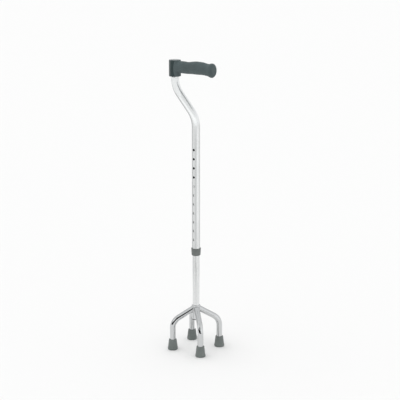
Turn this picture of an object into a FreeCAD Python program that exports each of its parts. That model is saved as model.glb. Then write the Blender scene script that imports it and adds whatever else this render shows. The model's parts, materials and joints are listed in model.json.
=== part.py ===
import FreeCAD, Part
import os
import re
from math import cos, radians, sin

import Sketcher

# Quad walking cane, 28 to 38 inch, with an offset handle.
# Origin: on the floor, on the axis of the straight shaft. +Z up, +X from the handle's hub towards
# the end of its grip, -Y the side of the height holes. Millimetres.
# Every size is a cell of the sheet "Dims"; the features are bound to those cells.

DIMENSIONS = (
    # shaft tubes
    ("upper_od", 22.2, "outer diameter of the upper tube"),
    ("upper_wall", 1.2, "wall of the upper tube"),
    ("upper_bottom", 285.0, "height of the upper tube's lower end"),
    ("upper_top", 799.5, "height of the upper tube's top end, inside the handle"),
    ("lower_od", 19.05, "outer diameter of the lower tube"),
    ("lower_wall", 1.25, "wall of the lower tube"),
    ("lower_bottom", 98.0, "height of the lower tube's lower end, inside the sleeve"),
    ("lower_top", 485.0, "height of the lower tube's top end"),
    ("plug_flange", 3.0, "thickness of the flange on the lower tube's plug"),
    ("plug_spigot", 5.0, "length of the spigot on the lower tube's plug"),
    ("free_gap", 0.3, "gap between faces that pass each other"),
    ("fit_gap", 0.05, "gap between parts that are fixed to each other"),
    ("running_gap", 0.08, "radial clearance of the collar's bush on the lower tube"),
    # swan neck
    ("neck_offset", 69.4, "from the shaft's axis back to the hub's axis"),
    ("neck_start", 637.5, "height where the straight shaft ends"),
    ("neck_tilt", 41.0, "angle of the neck's middle run from the vertical"),
    ("neck_low_bend", 68.0, "centreline radius of the lower bend"),
    ("neck_high_bend", 68.0, "centreline radius of the upper bend"),
    # height holes and snap button
    ("hole_pitch", 25.4, "spacing of the height holes"),
    ("hole_count", 11, "number of height holes"),
    ("hole_low", 321.8, "height of the lowest hole"),
    ("hole_dia", 6.6, "diameter of the height holes"),
    ("button_z", 474.2, "height of the snap button"),
    ("button_dia", 6.2, "diameter of the snap button"),
    ("button_proud", 2.1, "how far the button's dome stands out of the upper tube"),
    ("button_dome", 1.4, "height of the button's dome"),
    ("button_foot", 5.1, "distance of the button's inner end from the shaft's axis"),
    ("flange_dia", 7.6, "diameter of the button's inner flange"),
    ("flange_thick", 1.0, "thickness of the button's inner flange"),
    ("spring_thick", 0.6, "thickness of the button's spring strip"),
    ("spring_width", 8.0, "width of the button's spring strip"),
    ("spring_back", 6.5, "distance of the spring's back leg from the shaft's axis"),
    ("spring_front_top", 478.5, "height of the spring's front leg"),
    ("spring_back_top", 470.0, "height of the spring's back leg"),
    ("spring_bend_z", 446.0, "height where the spring's bend starts"),
    # collar
    ("collar_bottom", 275.2, "height of the collar's lower face"),
    ("collar_tall", 20.6, "height of the collar"),
    ("collar_top_dia", 27.0, "diameter at the collar's top"),
    ("collar_low_dia", 24.6, "diameter near the collar's bottom"),
    ("collar_lip", 2.0, "thickness of the lip under the bush"),
    ("collar_round", 2.4, "rounding of the collar's lower edge"),
    ("collar_rim_round", 0.6, "rounding of the collar's upper edge"),
    # handle
    ("hub_dia", 32.4, "diameter of the handle's hub"),
    ("hub_bottom", 770.8, "height of the hub's lower face"),
    ("hub_tall", 44.3, "height of the hub"),
    ("hub_round", 0.9, "rounding of the hub's edges"),
    ("socket_deep", 28.75, "depth of the hub's socket for the tube"),
    ("hub_roof", 4.95, "thickness of the hub's roof over the tube"),
    ("head_room", 5.8, "depth of the screw head's recess"),
    ("cap_dia", 26.8, "diameter of the cap on the hub"),
    ("cap_dome", 0.5, "height of the cap's dome over the hub's top"),
    ("screw_dia", 5.0, "diameter of the handle's screw"),
    ("screw_long", 21.0, "length of the screw under its head"),
    ("head_dia", 9.5, "diameter of the screw's head"),
    ("head_tall", 3.0, "height of the screw's head"),
    ("hex_deep", 1.8, "depth of the screw's hexagon socket"),
    ("hex_across", 3.0, "width across the flats of the hexagon socket"),
    ("insert_long", 18.0, "length of the plug in the upper tube's top"),
    ("grip_axis_z", 797.0, "height of the grip's axis at the hub"),
    ("grip_end_round", 6.5, "rounding of the grip's end"),
    ("spine_reach", 106.0, "from the hub's axis to the end of the rigid spine"),
    ("spine_tall", 15.0, "height of the spine"),
    ("spine_wide", 11.0, "width of the spine"),
    # base
    ("sleeve_od", 23.0, "outer diameter of the base's sleeve"),
    ("sleeve_bottom", 88.0, "height of the sleeve's lower end"),
    ("sleeve_top", 129.0, "height of the sleeve's top end"),
    ("sleeve_round", 0.4, "rounding of the sleeve's top edge"),
    ("cap_thick", 2.2, "thickness of the head of the sleeve's plug"),
    ("cap_round", 1.0, "rounding of the head of the sleeve's plug"),
    ("rivet_z", 103.0, "height of the rivet"),
    ("rivet_dia", 4.0, "diameter of the rivet"),
    ("rivet_head_dia", 7.6, "diameter of the rivet's heads"),
    ("rivet_head_tall", 1.5, "height of the rivet's heads over the sleeve"),
    ("foot_square", 95.0, "side of the square on which the legs stand"),
    ("leg_od", 16.0, "outer diameter of a leg"),
    ("leg_wall", 1.2, "wall of a leg"),
    ("leg_slope", 30.8, "slope of a leg's upper run below the horizontal"),
    ("leg_apex", 123.2, "height where the legs' centrelines meet on the shaft's axis"),
    ("leg_bend", 35.0, "centreline radius of a leg's bend"),
    ("leg_inner", 6.0, "radius at which a leg's run starts, before the sleeve cuts it"),
    ("weld_leg", 1.6, "size of the weld around a leg's root"),
    ("tip_low_dia", 28.6, "diameter of a rubber tip near the floor"),
    ("tip_top_dia", 21.5, "diameter of a rubber tip at its mouth"),
    ("tip_tall", 30.0, "height of a rubber tip"),
    ("tip_rib", 6.0, "height of the rubber tip's foot ring"),
    ("tip_step", 0.5, "how far the foot ring stands out of the cone"),
    ("tip_floor", 6.0, "thickness of rubber under the steel disc"),
    ("tip_round", 1.6, "rounding of the tip's lower edge"),
    ("tread_deep", 1.2, "depth of the tread ring in the tip's sole"),
    ("tread_in", 6.0, "inner radius of the tread ring"),
    ("tread_out", 8.5, "outer radius of the tread ring"),
    ("disc_thick", 1.4, "thickness of the steel disc in a tip"),
    ("disc_hole", 4.0, "diameter of the hole in the steel disc"),
)

# The grip's sections: distance from the hub's axis, height, width, and drop of the centre below
# the grip's axis. They swell under the palm and flare at the end.
GRIP_SECTIONS = (
    (6.0, 32.0, 28.4, -0.1),
    (18.0, 32.4, 28.8, 0.0),
    (30.0, 32.9, 29.2, 0.4),
    (44.0, 32.1, 28.8, 0.8),
    (60.0, 33.7, 29.8, -0.6),
    (70.0, 35.0, 31.2, -1.0),
    (80.0, 34.8, 31.2, -1.0),
    (92.0, 33.8, 30.2, -0.8),
    (104.0, 32.6, 29.2, 0.8),
    (112.0, 33.4, 30.0, 1.8),
    (120.0, 38.2, 34.0, 2.3),
    (128.5, 35.8, 31.9, 2.3),
)

# Compass positions of the legs, as the angle from +X about +Z.
LEGS = (("front_right", -45.0), ("rear_right", 45.0), ("rear_left", 135.0), ("front_left", 225.0))

CELLS = list(DIMENSIONS)
for ring, sizes in enumerate(GRIP_SECTIONS):
    for alias, number in zip(("grip_along", "grip_tall", "grip_wide", "grip_drop"), sizes):
        CELLS.append((f"{alias}_{ring}", number, f"{alias.replace('_', ' ')} at section {ring}"))

ALIASES = {alias: number for alias, number, _ in CELLS}

doc = FreeCAD.newDocument("QuadCane")
sheet = doc.addObject("Spreadsheet::Sheet", "Dims")
for line, (alias, number, meaning) in enumerate(CELLS, start=1):
    sheet.set(f"A{line}", meaning)
    sheet.set(f"B{line}", str(number))
    sheet.setAlias(f"B{line}", alias)
doc.recompute()

parts = []


# ---- helpers ------------------------------------------------------------------------------------

def from_sheet(text):
    """The expression with each alias written as a cell of the sheet."""
    return re.sub(r"[a-z][a-z_0-9]+", lambda word: qualified(word.group()), text)


def qualified(word):
    return f"Dims.{word}" if word in ALIASES else word


def bind(thing, prop, text):
    thing.setExpression(prop, from_sheet(text))


def finished(thing, label):
    """Give a sub-part its name and keep it for export."""
    thing.Label = label
    parts.append(thing)
    return thing


def new_body(label, place=("0", "0", "0")):
    body = doc.addObject("PartDesign::Body", label)
    for axis, text in zip("xyz", place):
        bind(body, f"Placement.Base.{axis}", text)
    return finished(body, label)


def new_sketch(body, name, plane, lift="0"):
    """A sketch on one of the body's origin planes, moved along the plane's normal by lift."""
    sketch = body.newObject("Sketcher::SketchObject", name)
    support = [o for o in body.Origin.OriginFeatures if o.Role == plane][0]
    sketch.AttachmentSupport = [(support, "")]
    sketch.MapMode = "FlatFace"
    bind(sketch, "AttachmentOffset.Base.z", lift)
    return sketch


def constrain(sketch, text, kind, now, *where):
    """A dimension of a sketch, bound to the sheet. Its present value starts the solver."""
    index = sketch.addConstraint(Sketcher.Constraint(kind, *where, now))
    bind(sketch, f"Constraints[{index}]", text)


def place_point(sketch, geometry, corner, across, up):
    """Hold a point of a sketch at (across, up) from the sketch's origin."""
    now = sketch.getPoint(geometry, corner)
    for kind, line, text, value in (("DistanceX", -2, across, now.x), ("DistanceY", -1, up, now.y)):
        if text == "0":
            sketch.addConstraint(Sketcher.Constraint("PointOnObject", geometry, corner, line))
        else:
            constrain(sketch, text, kind, value, -1, 1, geometry, corner)


def add_circle(sketch, radius, across="0", up="0"):
    normal = FreeCAD.Vector(0, 0, 1)
    circle = sketch.addGeometry(Part.Circle(FreeCAD.Vector(1, 1, 0), normal, 1.0), False)
    constrain(sketch, radius, "Radius", 1.0, circle)
    place_point(sketch, circle, 3, across, up)


def add_outline(sketch, corners):
    """A closed outline of straight edges, each corner held by two bound dimensions."""
    count = len(corners)
    ring = [radians(360.0 * i / count) for i in range(count)]
    start = [FreeCAD.Vector(50 + 9 * cos(a), 50 + 9 * sin(a), 0) for a in ring]
    for i in range(count):
        sketch.addGeometry(Part.LineSegment(start[i], start[(i + 1) % count]), False)
    for i in range(count):
        sketch.addConstraint(Sketcher.Constraint("Coincident", i, 2, (i + 1) % count, 1))
    for i, (across, up) in enumerate(corners):
        place_point(sketch, i, 1, across, up)


def revolve(body, corners, name="Turned"):
    """Turn an outline in the body's XZ plane about its Z axis."""
    sketch = new_sketch(body, name + "Profile", "XZ_Plane")
    add_outline(sketch, corners)
    turned = body.newObject("PartDesign::Revolution", name)
    turned.Profile = sketch
    turned.ReferenceAxis = (sketch, ["V_Axis"])
    turned.Angle = 360.0
    return turned


def ring_pad(body, outer, inner, length, lift="0", name="Ring"):
    sketch = new_sketch(body, name + "Profile", "XY_Plane", lift)
    add_circle(sketch, outer)
    if inner:
        add_circle(sketch, inner)
    pad = body.newObject("PartDesign::Pad", name)
    pad.Profile = sketch
    bind(pad, "Length", length)
    return pad


def cut_hole(body, radius, height, plane, reach, both_sides, name):
    """Drill a round hole across the body at a height, through one wall or both."""
    doc.recompute()
    before = body.Shape.Volume
    sketch = new_sketch(body, name + "Profile", plane)
    add_circle(sketch, radius, "0", height)
    pocket = body.newObject("PartDesign::Pocket", name)
    pocket.Profile = sketch
    bind(pocket, "Length", reach)
    pocket.Midplane = both_sides
    pocket.Reversed = not both_sides
    doc.recompute()
    if body.Shape.Volume >= before:
        raise SystemExit(f"{body.Label}: {name} cuts nothing")
    return pocket


def round_edges(body, base, heights, radius, name, outermost=True):
    """Fillet the circular edges that lie at the given heights of the body's own frame."""
    doc.recompute()
    wanted = []
    for height in heights:
        level = [
            (edge.Curve.Radius, f"Edge{i}")
            for i, edge in enumerate(base.Shape.Edges, start=1)
            if isinstance(edge.Curve, Part.Circle) and abs(edge.Curve.Center.z - height) < 0.01
            and abs(edge.Curve.Axis.z) > 0.99
        ]
        wanted.append((max(level) if outermost else min(level))[1])
    fillet = body.newObject("PartDesign::Fillet", name)
    fillet.Base = (base, wanted)
    bind(fillet, "Radius", radius)
    return fillet


def primitive(kind, name, sizes, place=("0", "0", "0"), axis=(0, 0, 1), turn="0"):
    """A Part primitive with its sizes and its place bound to the sheet."""
    thing = doc.addObject(kind, name)
    for prop, text in sizes.items():
        bind(thing, prop, text)
    thing.Placement = FreeCAD.Placement(FreeCAD.Vector(), FreeCAD.Rotation(FreeCAD.Vector(*axis), 1.0))
    for letter, text in zip("xyz", place):
        bind(thing, f"Placement.Base.{letter}", text)
    bind(thing, "Placement.Rotation.Angle", turn)
    return thing


def cut(name, base, tool):
    thing = doc.addObject("Part::Cut", name)
    thing.Base = base
    thing.Tool = tool
    return thing


def fuse(name, shapes):
    thing = doc.addObject("Part::MultiFuse", name)
    thing.Shapes = shapes
    return thing


def common(name, shapes):
    thing = doc.addObject("Part::MultiCommon", name)
    thing.Shapes = shapes
    return thing


# ---- shaft --------------------------------------------------------------------------------------

def lower_tube():
    body = new_body("lower_tube", ("0", "0", "lower_bottom"))
    ring_pad(body, "lower_od / 2", "lower_od / 2 - lower_wall", "lower_top - lower_bottom")
    radius = "button_dia / 2 + running_gap"
    cut_hole(body, radius, "button_z - lower_bottom", "XZ_Plane", "lower_od", False, "ButtonHole")
    rivet = "rivet_dia / 2 + fit_gap"
    cut_hole(body, rivet, "rivet_z - lower_bottom", "YZ_Plane", "lower_od * 2", True, "RivetHole")


def lower_tube_plug():
    body = new_body("lower_tube_plug", ("0", "0", "lower_top - plug_spigot"))
    spigot = "lower_od / 2 - lower_wall - fit_gap"
    flange = "upper_od / 2 - upper_wall - free_gap"
    top = "plug_spigot + plug_flange"
    revolve(body, (
        ("0", "0"), (spigot, "0"), (spigot, "plug_spigot"), (flange, "plug_spigot"),
        (flange, top), ("0", top),
    ))


def neck_points():
    """Corners of the swan neck's centreline in the XZ plane, to start the sketch's solver."""
    tilt = radians(ALIASES["neck_tilt"])
    low, high = ALIASES["neck_low_bend"], ALIASES["neck_high_bend"]
    sideways = 1 - cos(tilt)
    run = (ALIASES["neck_offset"] - (low + high) * sideways) / sin(tilt)
    first = FreeCAD.Vector(-low * sideways, ALIASES["neck_start"] + low * sin(tilt), 0)
    second = first + FreeCAD.Vector(-run * sin(tilt), run * cos(tilt), 0)
    third = second + FreeCAD.Vector(-high * sideways, high * sin(tilt), 0)
    return first, second, third


def neck_path(body):
    """Centreline of the upper tube: straight, bend back, slanted run, bend up, straight."""
    tilt = radians(ALIASES["neck_tilt"])
    low, high = ALIASES["neck_low_bend"], ALIASES["neck_high_bend"]
    first, second, third = neck_points()
    foot = FreeCAD.Vector(0, ALIASES["upper_bottom"], 0)
    bend = FreeCAD.Vector(0, ALIASES["neck_start"], 0)
    top = FreeCAD.Vector(third.x, ALIASES["upper_top"], 0)
    axis = FreeCAD.Vector(0, 0, 1)
    low_circle = Part.Circle(bend - FreeCAD.Vector(low, 0, 0), axis, low)
    high_circle = Part.Circle(third + FreeCAD.Vector(high, 0, 0), axis, high)
    path = new_sketch(body, "Path", "XZ_Plane")
    path.addGeometry(Part.LineSegment(foot, bend), False)
    path.addGeometry(Part.ArcOfCircle(low_circle, 0.0, tilt), False)
    path.addGeometry(Part.LineSegment(first, second), False)
    path.addGeometry(Part.ArcOfCircle(high_circle, radians(180.0), radians(180.0) + tilt), False)
    path.addGeometry(Part.LineSegment(third, top), False)
    place_point(path, 0, 1, "0", "upper_bottom")
    place_point(path, 0, 2, "0", "neck_start")
    path.addConstraint(Sketcher.Constraint("Tangent", 0, 2, 1, 1))
    path.addConstraint(Sketcher.Constraint("Tangent", 1, 2, 2, 1))
    path.addConstraint(Sketcher.Constraint("Tangent", 2, 2, 3, 2))
    path.addConstraint(Sketcher.Constraint("Tangent", 3, 1, 4, 1))
    constrain(path, "neck_low_bend", "Radius", low, 1)
    constrain(path, "neck_high_bend", "Radius", high, 3)
    constrain(path, "(90 + neck_tilt) * 1 deg", "Angle", radians(90.0) + tilt, 2)
    path.addConstraint(Sketcher.Constraint("Vertical", 4))
    place_point(path, 4, 2, "-neck_offset", "upper_top")
    return path


def upper_tube():
    body = new_body("upper_tube")
    path = neck_path(body)
    section = new_sketch(body, "Section", "XY_Plane", "upper_bottom")
    add_circle(section, "upper_od / 2")
    add_circle(section, "upper_od / 2 - upper_wall")
    pipe = body.newObject("PartDesign::AdditivePipe", "BentTube")
    pipe.Profile = section
    pipe.Spine = (path, [])
    first = cut_hole(body, "hole_dia / 2", "hole_low", "XZ_Plane", "upper_od", False, "HeightHole")
    row = body.newObject("PartDesign::LinearPattern", "HoleRow")
    row.Originals = [first]
    row.Direction = (first.Profile[0], ["V_Axis"])
    bind(row, "Length", "hole_pitch * (hole_count - 1)")
    bind(row, "Occurrences", "hole_count")
    body.Tip = row


def collar():
    body = new_body("collar", ("0", "0", "collar_bottom"))
    bore = "upper_od / 2 + fit_gap"
    lip = "lower_od / 2 + free_gap"
    turned = revolve(body, (
        (lip, "0"), ("collar_low_dia / 2", "0"), ("collar_top_dia / 2", "collar_tall"),
        (bore, "collar_tall"), (bore, "collar_lip"), (lip, "collar_lip"),
    ))
    low = round_edges(body, turned, (0.0,), "collar_round", "LowerRound")
    round_edges(body, low, (ALIASES["collar_tall"],), "collar_rim_round", "UpperRound")


def collar_bush():
    body = new_body("collar_bush", ("0", "0", "collar_bottom + collar_lip + fit_gap"))
    length = "upper_bottom - collar_bottom - collar_lip - 2 * fit_gap"
    ring_pad(body, "upper_od / 2", "lower_od / 2 + running_gap", length)


# ---- snap button --------------------------------------------------------------------------------

def snap_button():
    """A domed pin with an inner flange, turned about Z and laid along -Y."""
    body = new_body("snap_button", ("0", "-button_foot", "button_z"))
    body.Placement.Rotation = FreeCAD.Rotation(FreeCAD.Vector(1, 0, 0), 90.0)
    length = "upper_od / 2 + button_proud - button_foot"
    shoulder = f"{length} - button_dome"
    turned = revolve(body, (
        ("0", "0"), ("flange_dia / 2", "0"), ("flange_dia / 2", "flange_thick"),
        ("button_dia / 2", "flange_thick"), ("button_dia / 2", shoulder),
        ("button_dia / 2", length), ("0", length),
    ))
    doc.recompute()
    top = ALIASES["upper_od"] / 2 + ALIASES["button_proud"] - ALIASES["button_foot"]
    rounded_pin(body, turned, top)


def rounded_pin(body, turned, top):
    """Round the pin's outer end into a dome."""
    ends = [
        f"Edge{i}" for i, edge in enumerate(turned.Shape.Edges, start=1)
        if isinstance(edge.Curve, Part.Circle) and abs(edge.Curve.Center.z - top) < 0.01
    ]
    dome = body.newObject("PartDesign::Fillet", "Dome")
    dome.Base = (turned, ends)
    bind(dome, "Radius", "button_dome")


def button_spring():
    """A U of steel strip: front leg behind the button, back leg on the tube's far wall."""
    front = "button_foot - fit_gap"
    middle = f"(spring_back + spring_thick - ({front})) / 2"
    outer = f"(spring_back + spring_thick + {front}) / 2"
    size = {"Length": "spring_width", "Width": "spring_thick"}
    leg_front = primitive(
        "Part::Box", "SpringFront", {**size, "Height": "spring_front_top - spring_bend_z"},
        ("-spring_width / 2", f"-({front})", "spring_bend_z"),
    )
    leg_back = primitive(
        "Part::Box", "SpringBack", {**size, "Height": "spring_back_top - spring_bend_z"},
        ("-spring_width / 2", "spring_back", "spring_bend_z"),
    )
    half = {"Height": "spring_width", "Angle": "180"}
    place = ("-spring_width / 2", middle, "spring_bend_z")
    bend = primitive("Part::Cylinder", "SpringBend", {**half, "Radius": outer}, place)
    hollow = primitive(
        "Part::Cylinder", "SpringHollow", {**half, "Radius": f"{outer} - spring_thick"}, place
    )
    # the half discs lie across the shaft, below the legs
    across = FreeCAD.Rotation(FreeCAD.Vector(0, -1, 0), FreeCAD.Vector(0, 0, -1), FreeCAD.Vector(1, 0, 0))
    for disc in (bend, hollow):
        disc.setExpression("Placement.Rotation.Angle", None)
        disc.Placement.Rotation = across
    curve = cut("SpringCurve", bend, hollow)
    finished(fuse("SpringStrip", [leg_front, leg_back, curve]), "button_spring")


# ---- handle -------------------------------------------------------------------------------------

def handle_core():
    """Rigid hub with a socket for the tube, and the spine inside the grip."""
    body = new_body("handle_core", ("-neck_offset", "0", "hub_bottom"))
    outside = "hub_dia / 2"
    socket = "upper_od / 2 + fit_gap"
    roof = "socket_deep + hub_roof"
    seat = f"{roof} + head_room"
    clear = "screw_dia / 2 + fit_gap * 4"
    recess = "head_dia / 2 + fit_gap * 6"
    turned = revolve(body, (
        (socket, "0"), (outside, "0"), (outside, "hub_tall"), ("cap_dia / 2 + fit_gap", "hub_tall"),
        ("cap_dia / 2 + fit_gap", seat), (recess, seat), (recess, roof), (clear, roof),
        (clear, "socket_deep"), (socket, "socket_deep"),
    ), "Hub")
    rounded = round_edges(body, turned, (0.0, ALIASES["hub_tall"]), "hub_round", "HubRound")
    body.Tip = rounded
    sketch = new_sketch(body, "SpineProfile", "YZ_Plane", "hub_dia / 2 - 1.5")
    half, low = "spine_wide / 2", "grip_axis_z - hub_bottom - spine_tall / 2"
    high = f"{low} + spine_tall"
    add_outline(sketch, ((f"-{half}", low), (half, low), (half, high), (f"-{half}", high)))
    spine = body.newObject("PartDesign::Pad", "Spine")
    spine.Profile = sketch
    bind(spine, "Length", "spine_reach - hub_dia / 2 + 1.5")


def hub_cap():
    body = new_body("hub_cap", ("-neck_offset", "0", "hub_bottom + socket_deep + hub_roof + head_room"))
    thick = "hub_tall - socket_deep - hub_roof - head_room + cap_dome"
    turned = revolve(body, (("0", "0"), ("cap_dia / 2", "0"), ("cap_dia / 2", thick), ("0", thick)))
    top = ALIASES["hub_tall"] - ALIASES["socket_deep"] - ALIASES["hub_roof"] - ALIASES["head_room"]
    round_edges(body, turned, (top + ALIASES["cap_dome"],), "cap_dome", "CapRound")


def handle_screw():
    """Socket screw with its head on the hub's roof and its thread in the tube's plug."""
    body = new_body("handle_screw", ("-neck_offset", "0", "hub_bottom + socket_deep + hub_roof - screw_long"))
    top = "screw_long + head_tall"
    turned = revolve(body, (
        ("0", "0"), ("screw_dia / 2", "0"), ("screw_dia / 2", "screw_long"),
        ("head_dia / 2", "screw_long"), ("head_dia / 2", top), ("0", top),
    ))
    doc.recompute()
    sketch = new_sketch(body, "HexProfile", "XY_Plane", f"{top} - hex_deep")
    half, corner = "hex_across / 2", "hex_across / sqrt(3)"
    add_outline(sketch, (
        (corner, "0"), (f"{corner} / 2", half), (f"-{corner} / 2", half),
        (f"-{corner}", "0"), (f"-{corner} / 2", f"-{half}"), (f"{corner} / 2", f"-{half}"),
    ))
    socket = body.newObject("PartDesign::Pocket", "HexSocket")
    socket.Profile = sketch
    socket.Reversed = True
    bind(socket, "Length", "hex_deep + 1")
    doc.recompute()
    if body.Shape.Volume >= turned.Shape.Volume:
        raise SystemExit("handle_screw: the socket cuts nothing")


def tube_insert():
    body = new_body("tube_insert", ("-neck_offset", "0", "upper_top - insert_long"))
    ring_pad(body, "upper_od / 2 - upper_wall - fit_gap", "screw_dia / 2 + fit_gap", "insert_long")


def grip_sleeve():
    """Soft grip: a loft of upright ellipses, coped to the hub, hollow for the spine."""
    rings = []
    for i in range(len(GRIP_SECTIONS)):
        rings.append(primitive(
            "Part::Ellipse", f"GripRing{i}",
            {"MajorRadius": f"grip_tall_{i} / 2", "MinorRadius": f"grip_wide_{i} / 2"},
            (f"grip_along_{i} - neck_offset", "0", f"grip_axis_z - grip_drop_{i}"), (0, -1, 0), "90",
        ))
    loft = doc.addObject("Part::Loft", "GripLoft")
    loft.Sections = rings
    loft.Solid = True
    doc.recompute()
    end = max(range(len(loft.Shape.Edges)), key=lambda i: loft.Shape.Edges[i].CenterOfMass.x)
    rounded = doc.addObject("Part::Fillet", "GripRound")
    rounded.Base = loft
    radius = ALIASES["grip_end_round"]
    rounded.Edges = [(end + 1, radius, radius)]
    hub = primitive(
        "Part::Cylinder", "GripHubCut", {"Radius": "hub_dia / 2 + fit_gap", "Height": "hub_tall * 2"},
        ("-neck_offset", "0", "hub_bottom - hub_tall / 2"),
    )
    spine = primitive(
        "Part::Box", "GripSpineCut",
        {"Length": "spine_reach + fit_gap", "Width": "spine_wide + 2 * fit_gap",
         "Height": "spine_tall + 2 * fit_gap"},
        ("-neck_offset", "-spine_wide / 2 - fit_gap", "grip_axis_z - spine_tall / 2 - fit_gap"),
    )
    finished(cut("GripSleeve", rounded, fuse("GripCuts", [hub, spine])), "grip_sleeve")


# ---- base ---------------------------------------------------------------------------------------

def base_sleeve():
    body = new_body("base_sleeve", ("0", "0", "sleeve_bottom"))
    pad = ring_pad(body, "sleeve_od / 2", "lower_od / 2 + fit_gap", "sleeve_top - sleeve_bottom")
    height = ALIASES["sleeve_top"] - ALIASES["sleeve_bottom"]
    rounded = round_edges(body, pad, (height,), "sleeve_round", "TopRound")
    body.Tip = rounded
    rivet = "rivet_dia / 2 + fit_gap"
    cut_hole(body, rivet, "rivet_z - sleeve_bottom", "YZ_Plane", "sleeve_od * 2", True, "RivetHole")


def sleeve_plug():
    """Plastic plug that closes the sleeve's lower end, under the tube."""
    body = new_body("sleeve_plug", ("0", "0", "sleeve_bottom - cap_thick"))
    spigot = "lower_od / 2 - fit_gap"
    top = "cap_thick + lower_bottom - sleeve_bottom - fit_gap"
    turned = revolve(body, (
        ("0", "0"), ("sleeve_od / 2", "0"), ("sleeve_od / 2", "cap_thick"), (spigot, "cap_thick"),
        (spigot, top), ("0", top),
    ))
    round_edges(body, turned, (0.0,), "cap_round", "HeadRound")


def sleeve_rivet():
    """Rivet through the sleeve and the tube, with heads that follow the sleeve's surface."""
    half = "sleeve_od / 2 + rivet_head_tall"
    sideways = {"place": (f"-({half})", "0", "rivet_z"), "axis": (0, 1, 0), "turn": "90"}
    head = primitive(
        "Part::Cylinder", "RivetHeads", {"Radius": "rivet_head_dia / 2", "Height": f"2 * ({half})"}, **sideways
    )
    shank = primitive(
        "Part::Cylinder", "RivetShank", {"Radius": "rivet_dia / 2", "Height": f"2 * ({half})"}, **sideways
    )
    inside = primitive(
        "Part::Cylinder", "RivetInside", {"Radius": "sleeve_od / 2 + fit_gap", "Height": "rivet_head_dia * 2"},
        ("0", "0", "rivet_z - rivet_head_dia"),
    )
    heads = cut("RivetHeadPair", head, inside)
    finished(fuse("Rivet", [heads, shank]), "sleeve_rivet")


def leg_path(body):
    """Centreline of a leg in the body's XZ plane, from the floor end up and in to the sleeve."""
    slope = radians(ALIASES["leg_slope"])
    bend = ALIASES["leg_bend"]
    out = ALIASES["foot_square"] / 2 ** 0.5
    corner = ALIASES["leg_apex"] - out * sin(slope) / cos(slope)
    turn = radians(90.0) - slope
    tangent = bend * sin(turn / 2) / cos(turn / 2)
    centre = FreeCAD.Vector(out - bend, corner - tangent, 0)
    circle = Part.Circle(centre, FreeCAD.Vector(0, 0, 1), bend)
    foot = FreeCAD.Vector(out, ALIASES["tip_floor"] + ALIASES["disc_thick"], 0)
    start = FreeCAD.Vector(out, corner - tangent, 0)
    leave = centre + FreeCAD.Vector(bend * cos(turn), bend * sin(turn), 0)
    inner = ALIASES["leg_inner"]
    root = FreeCAD.Vector(inner, ALIASES["leg_apex"] - inner * sin(slope) / cos(slope), 0)
    path = new_sketch(body, "Path", "XZ_Plane")
    path.addGeometry(Part.LineSegment(foot, start), False)
    path.addGeometry(Part.ArcOfCircle(circle, 0.0, turn), False)
    path.addGeometry(Part.LineSegment(leave, root), False)
    place_point(path, 0, 1, "foot_square / sqrt(2)", "tip_floor + disc_thick + fit_gap")
    path.addConstraint(Sketcher.Constraint("Vertical", 0))
    path.addConstraint(Sketcher.Constraint("Tangent", 0, 2, 1, 1))
    path.addConstraint(Sketcher.Constraint("Tangent", 1, 2, 2, 1))
    constrain(path, "leg_bend", "Radius", bend, 1)
    constrain(path, "(180 - leg_slope) * 1 deg", "Angle", radians(180.0) - slope, 2)
    place_point(path, 2, 2, "leg_inner", "leg_apex - leg_inner * tan(leg_slope * 1 deg)")
    return path


def leg(name, heading):
    body = new_body(f"leg_{name}")
    body.Placement.Rotation = FreeCAD.Rotation(FreeCAD.Vector(0, 0, 1), heading)
    path = leg_path(body)
    section = new_sketch(body, "Section", "XY_Plane", "tip_floor + disc_thick + fit_gap")
    out = "foot_square / sqrt(2)"
    add_circle(section, "leg_od / 2", out)
    add_circle(section, "leg_od / 2 - leg_wall", out)
    pipe = body.newObject("PartDesign::AdditivePipe", "BentTube")
    pipe.Profile = section
    pipe.Spine = (path, [])
    doc.recompute()
    before = pipe.Shape.Volume
    cope = body.newObject("PartDesign::SubtractiveCylinder", "SleeveCope")
    bind(cope, "Radius", "sleeve_od / 2")
    bind(cope, "Height", "sleeve_top * 2")
    body.Tip = cope
    doc.recompute()
    if body.Shape.Volume >= before:
        raise SystemExit(f"{body.Label}: the sleeve's cope cuts nothing")


def weld_fillet():
    """The weld that runs round the four roots, between the sleeve and the legs."""
    beads = []
    reach = "sleeve_od * 1.5"
    sleeve = primitive("Part::Cylinder", "WeldSleeve", {"Radius": "sleeve_od / 2", "Height": "leg_apex * 2"})
    band = primitive(
        "Part::Cylinder", "WeldBand", {"Radius": "sleeve_od / 2 + weld_leg", "Height": "leg_apex * 2"}
    )
    legs = []
    for name, heading in LEGS:
        towards = FreeCAD.Rotation(FreeCAD.Vector(0, 0, 1), heading)
        tip_over = FreeCAD.Rotation(FreeCAD.Vector(0, 1, 0), 90.0 + ALIASES["leg_slope"])
        for kind, radius, group in (
            ("Bead", "leg_od / 2 + weld_leg", beads), ("Leg", "leg_od / 2", legs)
        ):
            rod = primitive(
                "Part::Cylinder", f"Weld{kind}_{name}", {"Radius": radius, "Height": reach},
                ("0", "0", "leg_apex"),
            )
            rod.setExpression("Placement.Rotation.Angle", None)
            rod.Placement.Rotation = towards * tip_over
            group.append(rod)
    ring = common("WeldRing", [fuse("WeldRods", beads), band])
    hollow = fuse("WeldHollow", legs + [sleeve])
    finished(cut("Weld", ring, hollow), "weld_fillet")


def tip_outline():
    """A rubber tip: foot ring, cone, bore for the leg and a tread ring in the sole."""
    bore = "leg_od / 2 + fit_gap / 2"
    cone = "tip_low_dia / 2 - tip_step"
    return (
        ("0", "0"), ("tread_in", "0"), ("tread_in", "tread_deep"), ("tread_out", "tread_deep"),
        ("tread_out", "0"), ("tip_low_dia / 2", "0"), ("tip_low_dia / 2", "tip_rib"), (cone, "tip_rib"),
        ("tip_top_dia / 2", "tip_tall"), (bore, "tip_tall"), (bore, "tip_floor"), ("0", "tip_floor"),
    )


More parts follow.
